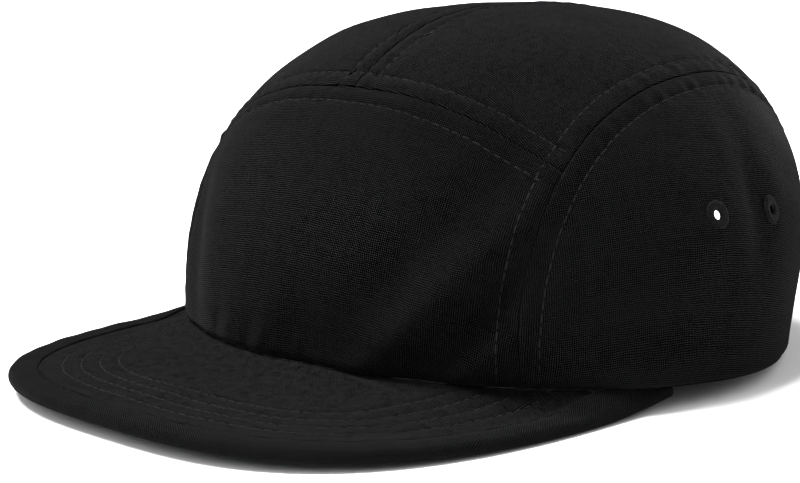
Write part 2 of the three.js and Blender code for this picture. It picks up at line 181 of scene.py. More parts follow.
class CapStitchSizes(bpy.types.PropertyGroup):
    """The rows of stitches"""

    aside: length("Distance", "From a seam to its row of stitches", 5.6 * MM)
    pitch: length("Pitch", "From one stitch to the next", 3.3 * MM)
    span: length("Stitch", "Length of one stitch", 2.75 * MM)
    thread: length("Thread", "Thickness of the thread", 0.34 * MM)
    channel: length("Channel", "How deep a row pulls the cloth in", 0.3 * MM)


class CapEyeletSizes(bpy.types.PropertyGroup):
    """The sewn eyelets"""

    hole: length("Hole", "Width of the hole", 2.6 * MM)
    thread: length("Thread", "Thickness of the thread wound round it", 0.55 * MM)
    proud: length("Proud", "How far the ring stands up from the cloth", 0.45 * MM)
    turns: IntProperty(name="Turns", description="Threads wound round each eyelet", default=34)


class CapPeakSizes(bpy.types.PropertyGroup):
    """The peak and its binding"""

    reach: length("Length", "In front of the crown", 60 * MM)
    side: length("Side", "From the crown's axis forward to where the outline starts", 26.4 * MM)
    squareness: factor("Squareness", "2 is an ellipse in plan, more is squarer", 2.92)
    board: length("Board", "Board and cloth at the edge", 1.5 * MM)
    rise: factor("Rise", "How steeply the binding's top goes up from the edge", 0.03)
    ease: factor("Ease", "How late the top goes up to the crown", 2.4)
    arch: length("Arch", "The middle of the edge over the surface", 2.8 * MM)
    tilt: length("Tilt", "How much higher the right edge is than the left one", 0.8 * MM)
    arch_ease: factor("Arch ease", "How late the edge comes down to the sides", 3.4)
    corner_lift: length("Corner lift", "The edge's height beside the crown", 2.4 * MM)
    corner_run: length("Corner run", "From there forward to where it comes down", 35 * MM)
    tuck: length("Tuck", "How far the board is laid in under the crown", 6 * MM)
    binding_cloth: length("Binding cloth", "Thickness of the folded strip", 0.8 * MM)
    binding_width: length("Binding width", "How far it covers the peak", 8 * MM)
    first_row: length("First row", "From the edge to the first row of stitches", 14.9 * MM)
    row_spacing: length("Row spacing", "From one row to the next", 5.2 * MM)
    rows: IntProperty(name="Rows", description="Rows of stitches on the peak", default=4)


class CapFinish(bpy.types.PropertyGroup):
    """Colours and weave"""

    canvas: colour("Canvas", "Crown and peak", (0.0036, 0.0036, 0.0037))
    thread: colour("Thread", "Stitches", (0.0125, 0.0125, 0.013))
    eyelet: colour("Eyelet thread", "Thread of the eyelets", (0.0048, 0.0048, 0.005))
    webbing: colour("Webbing", "Strap at the back", (0.004, 0.004, 0.0042))
    plastic: colour("Plastic", "Clasp on the strap", (0.008, 0.008, 0.0085))
    weave: length("Weave", "From one thread of the canvas to the next", 0.57 * MM)


class CapStage(bpy.types.PropertyGroup):
    """Camera, floor and light"""

    azimuth: factor("Azimuth", "Camera, degrees round from straight ahead", 44.02)
    elevation: factor("Elevation", "Camera, degrees over the horizon", 10.61)
    roll: factor("Roll", "Camera, degrees", -0.293)
    distance: length("Distance", "Camera to what it looks at", 0.5792)
    aside: length("Aside", "What it looks at, to the right of the middle", -8.84 * MM)
    over: length("Over", "And up from the middle", -15.8 * MM)
    lens: FloatProperty(name="Lens", description="Focal length", default=89.08, unit="CAMERA")
    middle: length("Middle", "Height of the middle", 50 * MM)


def crown_sizes():
    return bpy.context.scene.cap_crown


def seam_sizes():
    return bpy.context.scene.cap_seams


def stitch_sizes():
    return bpy.context.scene.cap_stitches


def peak_sizes():
    return bpy.context.scene.cap_peak


def axis_place():
    """How far behind the origin the crown's upright axis stands."""
    return binding_box[0].y + crown_sizes().front + peak_sizes().reach


# Lines and curves


def unit(vectors):
    return vectors / np.linalg.norm(vectors, axis=-1, keepdims=True)


def smooth_step(low, high, value):
    share = np.clip((value - low) / (high - low), 0, 1)
    return share * share * (3 - 2 * share)


def between(values, share):
    """A smooth curve through evenly spaced values, mirrored past both ends."""
    values = np.asarray(values)
    last = len(values) - 1
    place = np.clip(share, 0, 1) * last
    first = np.minimum(np.floor(place).astype(int), last - 1)
    t = place - first
    rows = [np.abs(first + step) for step in (-1, 0, 1, 2)]
    a, b, c, d = (values[np.where(row > last, 2 * last - row, row)] for row in rows)
    return b + 0.5 * t * (c - a + t * (2 * a - 5 * b + 4 * c - d + t * (3 * (b - c) + d - a)))


def bisect(low, high, holds):
    """Closes in on where a test stops holding, for many places at once."""
    low, high = np.broadcast_arrays(np.asarray(low, float), np.asarray(high, float))
    for _ in range(30):
        middle = (low + high) / 2
        held = holds(middle)
        low = np.where(held, middle, low)
        high = np.where(held, high, middle)
    return (low + high) / 2


def travelled(line):
    """Length along a line at each of its points."""
    return np.concatenate([[0], np.cumsum(np.linalg.norm(np.diff(line, axis=0), axis=1))])


def in_steps(line, step):
    """The same line in even steps of about this size."""
    run = travelled(line)
    places = np.linspace(0, run[-1], max(2, round(run[-1] / step) + 1))
    return np.stack([np.interp(places, run, line[:, k]) for k in range(3)], axis=1)


def nearest(points, line):
    """Distance from each point to a line, and how far along the line that is."""
    run = travelled(line)
    distance = np.empty(len(points))
    along = np.empty(len(points))
    for start in range(0, len(points), 4000):
        part = points[start : start + 4000]
        index = np.argmin(((part[:, None] - line[None]) ** 2).sum(-1), axis=1)
        best = np.full(len(part), np.inf)
        place = np.zeros(len(part))
        for step in (-1, 0):
            first = np.clip(index + step, 0, len(line) - 2)
            a, b = line[first], line[first + 1]
            share = np.clip(((part - a) * (b - a)).sum(-1) / ((b - a) ** 2).sum(-1), 0, 1)
            gap = np.linalg.norm(part - a - (b - a) * share[:, None], axis=1)
            place = np.where(gap < best, run[first] + share * (run[first + 1] - run[first]), place)
            best = np.minimum(gap, best)
        distance[start : start + 4000] = best
        along[start : start + 4000] = place
    return distance, along


class Crown:
    """The crown's cloth, from the sizes: where it runs, where it is sewn, and how its surface lies"""

    def __init__(self):
        self.sizes = crown_sizes()
        self.seams = seam_sizes()
        self.stitch = stitch_sizes()
        self.axis = axis_place()
        self.foot = np.array([0, self.axis, 0])
        rng = np.random.default_rng(5)
        self.waves = [
            (unit(rng.normal(size=3)), rng.uniform(16, 40) * MM, rng.uniform(0, 6.28)) for _ in range(14)
        ]
        self.puckers = [(rng.uniform(3, 9) * MM, rng.uniform(0, 6.28)) for _ in range(8)]
        self.trace_seams()

    def lift(self, turn):
        """Height of the rim over the surface."""
        flat = self.sizes.rim_flat
        share = np.maximum(0, (flat - np.sin(turn)) / (flat + 1))
        return self.sizes.rim_lift * share**self.sizes.rim_ease

    def skin(self, turn, climb):
        """The smooth outside. Turn goes round from +X, climb from 0 at the rim to pi / 2 at the top."""
        sizes = self.sizes
        aside, back = np.cos(turn), np.sin(turn)
        from_front = np.arccos(np.clip(-back, -1, 1)) / np.pi
        fullness = between([row[1] for row in PROFILES], from_front)
        tuck = between([row[2] for row in PROFILES], from_front)
        ahead = back < 0
        reach = np.where(ahead, sizes.front, sizes.back)
        roundness = np.where(ahead, sizes.front_roundness, sizes.back_roundness)
        wide = np.abs(aside / (sizes.width / 2)) ** roundness
        plan = (wide + np.abs(back / reach) ** roundness) ** (-1 / roundness)
        level = np.maximum(0, np.cos(climb))
        upright = np.maximum(0, np.sin(climb))
        profile = (level**fullness + upright**fullness) ** (-1 / fullness)
        lift = self.lift(turn)
        rise = (sizes.height - lift) * profile * upright
        low = np.maximum(0, 1 - rise / sizes.tuck_height)
        out = plan * profile * level * (1 - tuck * low * low)
        return np.stack([out * aside, out * back + self.axis, lift + rise], axis=-1)

    def outward(self, turn, climb):
        """Direction straight out of the cloth."""
        step = 0.002
        near_top = np.minimum(climb, np.pi / 2 - 2 * step)
        along = self.skin(turn + step, near_top) - self.skin(turn - step, near_top)
        up = self.skin(turn, near_top + step) - self.skin(turn, np.maximum(near_top - step, 0))
        return unit(np.cross(along, up))

    def settle(self, points):
        """Turn and climb of the cloth that lies outwards from the crown's foot through each point."""
        away = points - self.foot
        turn = np.arctan2(away[..., 1], away[..., 0])
        steep = np.arctan2(away[..., 2], np.hypot(away[..., 0], away[..., 1]))

        def lower(climb):
            place = self.skin(turn, climb) - self.foot
            return np.arctan2(place[..., 2], np.hypot(place[..., 0], place[..., 1])) < steep

        return turn, bisect(np.zeros_like(turn), np.full_like(turn, np.pi / 2), lower)

    def side_seam(self, y):
        """Half of the distance between the side seams in plan."""
        sizes, seams = self.sizes, self.seams
        share = np.clip((y - self.axis + sizes.front) / (sizes.front + sizes.back), 0, 1)
        return seams.side_front - (seams.side_front - seams.side_back) * share**seams.side_ease

    def front_seam(self, x):
        """Where the front seam runs in plan."""
        seams = self.seams
        sweep = seams.front_sweep * np.abs(x / seams.side_front) ** seams.front_ease
        return self.axis + sweep - seams.front_reach

    def over_plan(self, x, y):
        """The point of the upper crown over a place in plan."""
        turn = np.arctan2(y - self.axis, x)
        reach = np.hypot(x, y - self.axis)

        def beyond(climb):
            place = self.skin(turn, climb) - self.foot
            return np.hypot(place[..., 0], place[..., 1]) > reach

        return self.skin(turn, bisect(np.full_like(turn, 0.35), np.full_like(turn, np.pi / 2), beyond))

    def at_height(self, turn, height):
        """The point of the crown at a height."""

        def below(climb):
            return self.skin(turn, climb)[..., 2] < height

        return self.skin(turn, bisect(np.zeros_like(turn), np.full_like(turn, np.pi / 2), below))

    def rim(self, start, end):
        """A stretch of the rim."""
        turn = np.linspace(start, end, 200)
        return self.skin(turn, np.zeros_like(turn))

    def trace_seams(self):
        """The seams as lines on the smooth outside, for the left half, with the whole front seam."""
        low_climb = np.linspace(0, 0.6, 60)

        def outside(point):
            return point[..., 0] > self.side_seam(point[..., 1])

        def outside_low(turn):
            return outside(self.skin(turn, low_climb))

        ahead = bisect(np.full(60, -np.pi / 2), np.full(60, -0.3), lambda turn: ~outside_low(turn))
        behind = bisect(np.full(60, 0.2), np.full(60, np.pi / 2), outside_low)
        over = np.linspace(ahead[-1], behind[-1], 140)[1:-1]
        high = bisect(np.full(138, 0.4), np.full(138, np.pi / 2), lambda c: outside(self.skin(over, c)))
        arch = [self.skin(ahead, low_climb), self.skin(over, high), self.skin(behind, low_climb)[::-1]]
        self.side_line = in_steps(np.concatenate(arch), MM)
        self.rim_turns = (ahead[0], behind[0])

        corner = self.seams.side_front
        for _ in range(4):
            corner = float(self.side_seam(self.front_seam(corner)))
        x = np.linspace(0, corner, 61)
        half_line = in_steps(self.over_plan(x, self.front_seam(x)), MM)
        self.front_line = np.concatenate([half_line[:0:-1] * [-1, 1, 1], half_line])
        gap = np.linalg.norm(self.side_line - self.front_line[-1], axis=1)
        self.corner_index = int(np.argmin(gap))
        self.side_line[self.corner_index] = self.front_line[-1]

        half = self.seams.opening_width / 2
        spring = self.seams.opening_height - half
        angle = np.linspace(0, np.pi / 2, 40)
        x = np.concatenate([np.full(12, half), half * np.cos(angle[1:])])
        z = np.concatenate([np.linspace(0, spring, 12), spring + half * np.sin(angle[1:])])

        def beside_arch(turn):
            return self.at_height(turn, z)[..., 0] > x

        turn = bisect(np.full(len(x), 0.8), np.full(len(x), np.pi / 2), beside_arch)
        self.arch_line = in_steps(self.at_height(turn, z), MM)
        self.arch_line[-1, 0] = 0
        self.arch_turn = turn[0]

        _, front_climb = self.settle(self.front_line[len(self.front_line) // 2][None])
        _, arch_climb = self.settle(self.arch_line[-1][None])
        climbs = np.linspace(front_climb[0], np.pi - arch_climb[0], 240)
        turns = np.where(climbs < np.pi / 2, -np.pi / 2, np.pi / 2)
        self.centre_line = in_steps(self.skin(turns, np.minimum(climbs, np.pi - climbs)), MM)
        self.centre_line[:, 0] = 0

    def folds(self, turn, height):
        """How far the soft dents and ridges push the cloth out."""
        total = np.zeros_like(turn)
        for _, fold_turn, fold_height, fold_run, fold_width, fold_tilt, depth in FOLDS:
            aside = (turn - math.radians(fold_turn)) / (2 * np.pi)
            across = (aside - np.round(aside)) * np.pi * self.sizes.width
            over = height - fold_height * self.sizes.height
            tilt = math.radians(fold_tilt)
            run = (across * math.cos(tilt) + over * math.sin(tilt)) / (fold_run * self.sizes.height)
            width = (over * math.cos(tilt) - across * math.sin(tilt)) / (fold_width * self.sizes.height)
            total += self.sizes.fold_depth * depth * np.exp(-run * run - width * width)
        return total

    def beside_seam(self, points, line, where):
        """How the cloth lies near a seam: rolled in at it, puffed beside it, pulled in at the stitches."""
        seams, stitch = self.seams, self.stitch
        gap, along = nearest(points, line)
        roll = seams.roll
        inside = np.minimum(gap, roll)
        height = np.sqrt(np.maximum(0, roll**2 - (roll - inside) ** 2)) - roll
        near = np.clip(gap / stitch.aside, 0, 1)
        gathers = sum(np.sin(2 * np.pi * along / pitch + phase) for pitch, phase in self.puckers) / 3
        height = height + seams.puff * np.sin(np.pi * near) ** 2
        fade = np.sin(np.pi * np.clip(gap / (1.5 * stitch.aside), 0, 1))
        height = height + where * seams.pucker * gathers * fade
        height = height - stitch.channel * np.exp(-(((gap - stitch.aside) / (0.8 * MM)) ** 2))
        return np.where(gap < 2 * stitch.aside, height, 0) * np.ceil(where), gap

    def unevenness(self, points):
        """The faint waves of the whole cloth."""
        return sum(np.sin(points @ way * (2 * np.pi / pitch) + phase) for way, pitch, phase in self.waves)

    def relief(self, turn, points):
        """How far the finished cloth stands out from the smooth outside, and how far its nearest seam is."""
        seams = self.seams
        flat = points.reshape(-1, 3)
        x, y, z = flat.T
        mirrored = flat * [-1, 1, 1]
        left = (x >= 0)[:, None]
        near_side = np.where(left, flat, mirrored)
        pulled = smooth_step(0.03, 0.075, z) * 0.75 + 0.25
        side, side_gap = self.beside_seam(near_side, self.side_line, pulled)
        between_sides = np.abs(x) < self.side_seam(y) + seams.roll
        behind_front = y > self.front_seam(x) - seams.roll
        front, front_gap = self.beside_seam(flat, self.front_line, between_sides * 0.5)
        centre, centre_gap = self.beside_seam(flat, self.centre_line, behind_front * 0.4)
        arch, arch_gap = self.beside_seam(near_side, self.arch_line, np.full(len(flat), 0.3))
        raised = seams.lip * np.exp(-((side_gap / (2.2 * MM)) ** 2))
        lip = np.where(np.abs(x) > self.side_seam(y), raised, 0)
        over_rim = np.minimum(z - self.lift(turn.ravel()), seams.rim_roll)
        rim = np.sqrt(np.maximum(0, seams.rim_roll**2 - (seams.rim_roll - over_rim) ** 2)) - seams.rim_roll
        gap = np.minimum.reduce([side_gap, front_gap, centre_gap, arch_gap])
        wave = self.unevenness(flat)
        height = side + lip + front + centre + arch + 0.8 * rim + self.sizes.wave_depth * wave / 2
        height = np.maximum(height, -1.35 * seams.roll) + self.folds(turn.ravel(), z)
        return height.reshape(turn.shape), gap.reshape(turn.shape)

    def cloth(self, turn, climb):
        """Points of the finished cloth, the directions out of it, and the distance to the nearest seam."""
        points = self.skin(turn, climb)
        height, gap = self.relief(turn, points)
        out = self.outward(turn, climb)
        return points + out * height[..., None], out, gap


# Finishes


class Value:
    """A shader socket that takes part in sums: each operator adds its Math node"""

    def __init__(self, finish, socket):
        self.finish = finish
        self.socket = socket

    def math(self, operation, *others):
        return self.finish.node("ShaderNodeMath", {"operation": operation}, self, *others)

    def __add__(self, other):
        return self.math("ADD", other)

    __radd__ = __add__

    def __mul__(self, other):
        return self.math("MULTIPLY", other)

    __rmul__ = __mul__

    def __sub__(self, other):
        return self.math("SUBTRACT", other)

    def __rsub__(self, other):
        return self.finish.node("ShaderNodeMath", {"operation": "SUBTRACT"}, other, self)

    def __truediv__(self, other):
        return self.math("DIVIDE", other)

    def __pow__(self, other):
        return self.math("POWER", other)


class Finish:
    """A material and its nodes"""

    def __init__(self, name):
        self.material = bpy.data.materials.new(name)
        self.material.use_nodes = True
        self.tree = self.material.node_tree
        self.shader = self.tree.nodes["Principled BSDF"]

    def node(self, kind, settings=None, *inputs, output=0, **named):
        """Adds a node: its settings first, then the values or links of its sockets."""
        node = self.tree.nodes.new(kind)
        for name, value in (settings or {}).items():
            setattr(node, name, value)
        for socket, value in [*zip(node.inputs, inputs), *((node.inputs[k], v) for k, v in named.items())]:
            self.feed(socket, value)
        return Value(self, node.outputs[output])

    def feed(self, socket, value):
        if isinstance(value, Value):
            self.tree.links.new(value.socket, socket)
        else:
            socket.default_value = value

    def surface(self, **values):
        for name, value in values.items():
            self.feed(self.shader.inputs[name.replace("_", " ")], value)

    def blend(self, share, first, second):
        """A mix of two colours."""
        node = self.tree.nodes.new("ShaderNodeMix")
        node.data_type = "RGBA"
        for socket, value in zip([node.inputs[0], node.inputs[6], node.inputs[7]], [share, first, second]):
            self.feed(socket, value)
        return Value(self, node.outputs[2])


def shade(colour_value, share):
    """A colour, lighter or darker, as a socket takes it."""
    return (*[channel * share for channel in colour_value], 1)


def woven(name, base, pitch, slant=0.0, mottle=1.3, depth=0.09 * MM, layer="cloth"):
    """Plain weave: threads that pass over and under each other, with uneven threads and pale flecks, and
    painted shade in the gaps between threads and painted highlights on their crowns.
    """
    finish = Finish(name)
    place = finish.node("ShaderNodeUVMap", {"uv_map": layer})
    turned = finish.node(
        "ShaderNodeMapping", None, place, Rotation=(0, 0, slant), Scale=(1 / pitch, 1 / pitch, 1 / pitch)
    )
    split = finish.tree.nodes.new("ShaderNodeSeparateXYZ")
    finish.feed(split.inputs[0], turned)
    across, along = Value(finish, split.outputs[0]), Value(finish, split.outputs[1])
    drift = finish.node("ShaderNodeTexNoise", {"noise_dimensions": "2D"}, turned, Scale=0.11, Detail=2.0)
    across = across + drift * 1.6
    along = along + drift * 1.3
    column = across.math("FLOOR")
    row = along.math("FLOOR")
    over = ((column + row) * 0.5).math("FRACT") * 2
    dome_across = (across.math("FRACT") * math.pi).math("SINE")
    dome_along = (along.math("FRACT") * math.pi).math("SINE")
    warp = dome_across * dome_along**0.5
    weft = dome_along * dome_across**0.5
    crown = weft + (warp - weft) * over
    cell = finish.node("ShaderNodeCombineXYZ", None, column, row)
    fleck = finish.node("ShaderNodeTexWhiteNoise", {"noise_dimensions": "2D"}, cell)
    slub_across = finish.node("ShaderNodeTexWhiteNoise", {"noise_dimensions": "1D"}, W=column)
    slub_along = finish.node("ShaderNodeTexWhiteNoise", {"noise_dimensions": "1D"}, W=row + 57.0)
    cloud = finish.node(
        "ShaderNodeTexNoise", {"noise_dimensions": "2D"}, turned, Scale=0.22, Detail=4.0, Roughness=0.8
    )
    threads = (slub_across + slub_along - 1) * 0.2 + (cloud - 0.5) * mottle + 1
    # Painted shade and highlight: the colour is nearly black in the gaps between threads and bright on the
    # thread crowns, times random flecks, slubs and mottle.
    light = crown**7.0 * (fleck * 0.9 + 0.85) * threads.math("MAXIMUM", 0.15)
    finish.surface(
        # The colour runs from painted shade at 0.02 of the base to painted highlight at 8 times the base.
        Base_Color=finish.blend(light, shade(base, 0.02), shade(base, 8)),
        Roughness=0.95,
        Specular_IOR_Level=0.0,
        Sheen_Weight=0.034,
        Sheen_Roughness=0.3,
        Sheen_Tint=(0.9, 0.9, 0.92, 1),
        Normal=finish.node("ShaderNodeBump", None, Height=crown + fleck * 0.35, Strength=0.8, Distance=depth),
    )
    return finish.material


def spun(name, base, pitch=0.5 * MM):
    """Sewing thread: fine twist and uneven tone."""
    finish = Finish(name)
    place = finish.node("ShaderNodeTexCoord", None, output=3)
    twist = finish.node(
        "ShaderNodeTexWave", {"wave_type": "BANDS", "bands_direction": "DIAGONAL"}, place, Scale=0.16 / pitch
    )
    speck = finish.node("ShaderNodeTexNoise", None, place, Scale=0.4 / pitch, Detail=2.0)
    finish.surface(
        Base_Color=finish.blend(speck, shade(base, 0.5), shade(base, 1.6)),
        Roughness=0.75,
        Specular_IOR_Level=0.04,
        Normal=finish.node("ShaderNodeBump", None, Height=twist, Strength=0.5, Distance=0.05 * MM),
    )
    return finish.material


def moulded(name, base):
    """Matt moulded plastic."""
    finish = Finish(name)
    place = finish.node("ShaderNodeTexCoord", None, output=3)
    grain = finish.node("ShaderNodeTexNoise", None, place, Scale=1400.0, Detail=3.0)
    finish.surface(
        Base_Color=finish.blend(grain, shade(base, 0.8), shade(base, 1.2)),
        Roughness=grain * 0.2 + 0.48,
        Specular_IOR_Level=0.12,
        Normal=finish.node("ShaderNodeBump", None, Height=grain, Strength=0.3, Distance=0.03 * MM),
    )
    return finish.material


def finish_named(name):
    """The cap's finishes, each made once."""
    made = bpy.data.materials.get(name)
    if made:
        return made
    colours = bpy.context.scene.cap_finish
    if name == "crown cloth":
        return woven(name, colours.canvas, colours.weave)
    # Painted light: the peak and the top panels face up, so their canvas is the same black canvas painted 12
    # % lighter.
    if name == "peak cloth painted lighter":
        return woven(name, shade(colours.canvas, 1.12)[:3], colours.weave, mottle=3.4)
    if name == "top cloth painted lighter":
        return woven(name, shade(colours.canvas, 1.12)[:3], colours.weave, mottle=2.3)
    if name == "binding cloth":
        return woven(name, colours.canvas, colours.weave, slant=math.radians(45))
    if name == "strap cloth":
        return woven(name, colours.webbing, 1.4 * colours.weave, depth=0.2 * MM)
    if name == "clasp plastic":
        return moulded(name, colours.plastic)
    return spun(name, colours.thread if name == "stitch thread" else colours.eyelet)


# Making pieces


def clear_selection():
    if bpy.context.object and bpy.context.object.mode != "OBJECT":
        bpy.ops.object.mode_set(mode="OBJECT")
    bpy.ops.object.select_all(action="DESELECT")


def pick(*pieces):
    """Selects these pieces alone, the first as the active one."""
    clear_selection()
    for piece in pieces:
        piece.select_set(True)
    bpy.context.view_layer.objects.active = pieces[0]


def lay_grid(name, rows, flat, closed=False):
    """Adds a grid, lays its corners on rows of points, and merges those that meet."""
    count, width = rows.shape[:2]
    clear_selection()
    bpy.ops.mesh.primitive_grid_add(x_subdivisions=width - 1, y_subdivisions=count - 1, size=1)
    piece = bpy.context.object
    piece.name = name
    piece.data.name = name
    mesh = piece.data
    mesh.vertices.foreach_set("co", rows.astype(np.float32).ravel())
    layer = mesh.uv_layers[0] if mesh.uv_layers else mesh.uv_layers.new()
    layer.name = "cloth"
    corners = np.empty(len(mesh.loops), int)
    mesh.loops.foreach_get("vertex_index", corners)
    layer.data.foreach_set("uv", flat.reshape(-1, 2)[corners].astype(np.float32).ravel())
    mesh.update()
    bpy.ops.object.mode_set(mode="EDIT")
    bpy.ops.mesh.select_all(action="SELECT")
    bpy.ops.mesh.remove_doubles(threshold=0.002 * MM)
    if closed:
        bpy.ops.mesh.fill_holes(sides=0)
        bpy.ops.mesh.normals_make_consistent(inside=False)
    bpy.ops.object.mode_set(mode="OBJECT")
    return piece


def apply_modifier(piece, kind, **settings):
    """Adds a modifier and applies it."""
    pick(piece)
    modifier = piece.modifiers.new(kind.title(), kind)
    for name, value in settings.items():
        setattr(modifier, name, value)
    bpy.ops.object.modifier_apply(modifier=modifier.name)


def drop(piece):
    """Takes a tool piece away once it has been used."""
    bpy.data.objects.remove(piece, do_unlink=True)


def finish_piece(piece, finish, nodes=(), angle=50):
    """Smooths a piece, gives it its finish and lets it move with the cap."""
    piece.data.materials.clear()
    piece.data.materials.append(finish_named(finish))
    pick(piece)
    bpy.ops.object.shade_smooth_by_angle(angle=math.radians(angle))
    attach(piece, "root")
    if nodes:
        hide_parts(*nodes)
    return piece


# Panels


RING_GAPS = (0, 0.12, 0.3, 0.55, 0.85, 1.2, 1.8, 2.6, 3.4, 4.2, 4.8, 5.2, 5.6, 6.0, 6.4, 7.2, 8.6, 10.4)
INNER_RINGS = 22
SPOKE_STEP = 1.3 * MM
AWL_LENGTH = 8 * MM


def develop(points, foot, middle, way):
    """Flattens a panel about its middle, so that its weave keeps its size and runs straight."""
    out = unit(middle - foot)
    across = unit(way - out * (way @ out))
    along = np.cross(out, across)
    away = points - foot
    reach = np.linalg.norm(away, axis=-1)
    direction = away / reach[..., None]
    angle = np.arccos(np.clip(direction @ out, -1, 1))
    stretch = reach * angle / np.maximum(np.sin(angle), 1e-6)
    return np.stack([direction @ across * stretch, direction @ along * stretch], axis=-1)


def panel_rows(crown, outline, middle):
    """Rings of places on the crown, from the panel's outline in to its middle."""
    turn, climb = crown.settle(outline)

    def chart(turn, climb):
        reach = 1 - climb / (np.pi / 2)
        return np.stack([reach * np.cos(turn), reach * np.sin(turn)], axis=-1)

    def places(spots):
        reach = np.minimum(np.hypot(spots[..., 0], spots[..., 1]), 1)
        return np.arctan2(spots[..., 1], spots[..., 0]), (1 - reach) * np.pi / 2

    edge = chart(turn, climb)
    centre = chart(*crown.settle(middle[None]))[0]
    step = 0.02
    spoke = (outline - crown.skin(*places(centre + (edge - centre) * (1 - step)))) / step
    heading = np.roll(outline, -1, axis=0) - np.roll(outline, 1, axis=0)
    across = np.linalg.norm(np.cross(spoke, unit(heading)), axis=1)
    smooth = sum(np.roll(across, shift) for shift in range(-4, 5)) / 9
    gaps = np.array(RING_GAPS)[:, None] * MM
    near = 1 - gaps / smooth[None]
    far = near[-1] * np.linspace(1, 0, INNER_RINGS + 1)[1:, None]
    shares = np.concatenate([near, far])[..., None]
    spots = centre + (edge - centre) * shares
    return places(spots)


def sew_panel(crown, name, outline, middle, way):
    """One panel: its finished outside, its wall, and its inside, which follows the folds alone."""
    outline = np.concatenate([in_steps(part, SPOKE_STEP)[:-1] for part in outline])
    turn, climb = panel_rows(crown, outline, middle)
    turn, climb = (np.concatenate([grid, grid[:, :1]], axis=1) for grid in (turn, climb))
    points, out, gap = crown.cloth(turn, climb)
    smooth = crown.skin(turn, climb)
    flat = develop(smooth, crown.foot, middle, way)
    inside = smooth + out * (crown.folds(turn, smooth[..., 2]) - crown.sizes.wall)[..., None]
    inside[..., 2] = np.where(climb > 0, inside[..., 2], crown.lift(turn))
    points[..., 2] = np.where(climb > 0, points[..., 2], crown.lift(turn))
    first = np.cross(points[0, 1] - points[0, 0], points[1, 0] - points[0, 0])
    if first @ out[0, 0] < 0:
        points, inside, flat = points[:, ::-1], inside[:, ::-1], flat[:, ::-1]
    panel = lay_grid(name, points, flat)
    depths = lay_grid(name + "_inside", inside, flat)
    count = len(panel.data.vertices)
    coordinates = np.empty(3 * len(depths.data.vertices), np.float32)
    depths.data.vertices.foreach_get("co", coordinates)
    apply_modifier(panel, "SOLIDIFY", thickness=crown.sizes.wall, offset=-1)
    both = np.empty(3 * len(panel.data.vertices), np.float32)
    panel.data.vertices.foreach_get("co", both)
    # Where corners were merged alike on both sides, the wall's inner side is laid on the inside.
    if len(both) == 6 * count and len(coordinates) == 3 * count:
        both[3 * count :] = coordinates
        panel.data.vertices.foreach_set("co", both)
        panel.data.update()
    drop(depths)
    return panel


def panel_outline(crown, name, side):
    """The lines round a panel, on the left half or mirrored to the right one."""
    front, back = crown.rim_turns
    corner = crown.corner_index
    half = len(crown.front_line) // 2
    lower_side, upper_side = crown.side_line[: corner + 1], crown.side_line[corner:]
    if name == "front":
        mirror = [-1, 1, 1]
        rim = crown.rim(-np.pi - front, front)
        return [rim, lower_side, crown.front_line[::-1], lower_side[::-1] * mirror]
    if name == "side":
        lines = [crown.rim(front, back), crown.side_line[::-1]]
    else:
        lines = [
            crown.front_line[half:],
            upper_side,
            crown.rim(back, crown.arch_turn),
            crown.arch_line,
            crown.centre_line[::-1],
        ]
    return [line * [side, 1, 1] for line in lines]


class CAP_OT_front_panel(bpy.types.Operator):
    """Sews the front panel"""

    bl_idname = "cap.front_panel"
    bl_label = "Front Panel"

    def execute(self, context):
        crown = Crown()
        middle = crown.skin(np.array(-np.pi / 2), np.array(0.5))
        outline = panel_outline(crown, "front", 1)
        panel = sew_panel(crown, "front_panel_cloth", outline, middle, np.array([1, 0, 0]))
        finish_piece(panel, "crown cloth", ["front_panel"])
        return {"FINISHED"}


class CAP_OT_top_panels(bpy.types.Operator):
    """Sews the two top panels, with the arched opening at the back"""

    bl_idname = "cap.top_panels"
    bl_label = "Top Panels"

    def execute(self, context):
        crown = Crown()
        for name, side in SIDES:
            middle = crown.over_plan(np.array(side * 31 * MM), np.array(crown.axis + 14 * MM))
            outline = panel_outline(crown, "top", side)
            panel = sew_panel(crown, f"top_panel_{name}_cloth", outline, middle, np.array([1, 0, 0]))
            finish_piece(panel, "top cloth painted lighter", [f"top_panel_{name}"])
        return {"FINISHED"}


def eyelet_places(crown, side):
    """Where a side's two eyelets sit on the cloth, and the directions out of it there."""
    boxes = eyelet_boxes["left" if side > 0 else "right"]
    middles = np.array([[*(low + high) / 2] for low, high in boxes])
    turn, climb = crown.settle(middles)
    points, out, _ = crown.cloth(turn, climb)
    return list(zip(points, out))


class CAP_OT_side_panels(bpy.types.Operator):
    """Sews the two side panels and opens their eyelet holes"""

    bl_idname = "cap.side_panels"
    bl_label = "Side Panels"

    def execute(self, context):
        crown = Crown()
        hole = context.scene.cap_eyelets.hole
        for name, side in SIDES:
            middle = crown.skin(np.array(0.08 if side > 0 else np.pi - 0.08), np.array(0.45))
            outline = panel_outline(crown, "side", side)
            panel = sew_panel(crown, f"side_panel_{name}_cloth", outline, middle, np.array([0, 1, -0.16]))
            for place, out in eyelet_places(crown, side):
                # The hole, then a wider recess from inside that lets slanting light through.
                for radius, back in ((0.55 * hole, 0), (1.1 * hole, 0.7 * MM + AWL_LENGTH / 2)):
                    clear_selection()
                    bpy.ops.mesh.primitive_cylinder_add(
                        vertices=32,
                        radius=radius,
                        depth=AWL_LENGTH,
                        location=place - out * back,
                        rotation=Vector(out).to_track_quat("Z", "Y").to_euler(),
                    )
                    awl = bpy.context.object
                    apply_modifier(panel, "BOOLEAN", operation="DIFFERENCE", solver="MANIFOLD", object=awl)
                    drop(awl)
            finish_piece(panel, "crown cloth", [f"side_panel_{name}"])
        return {"FINISHED"}


# Stitches


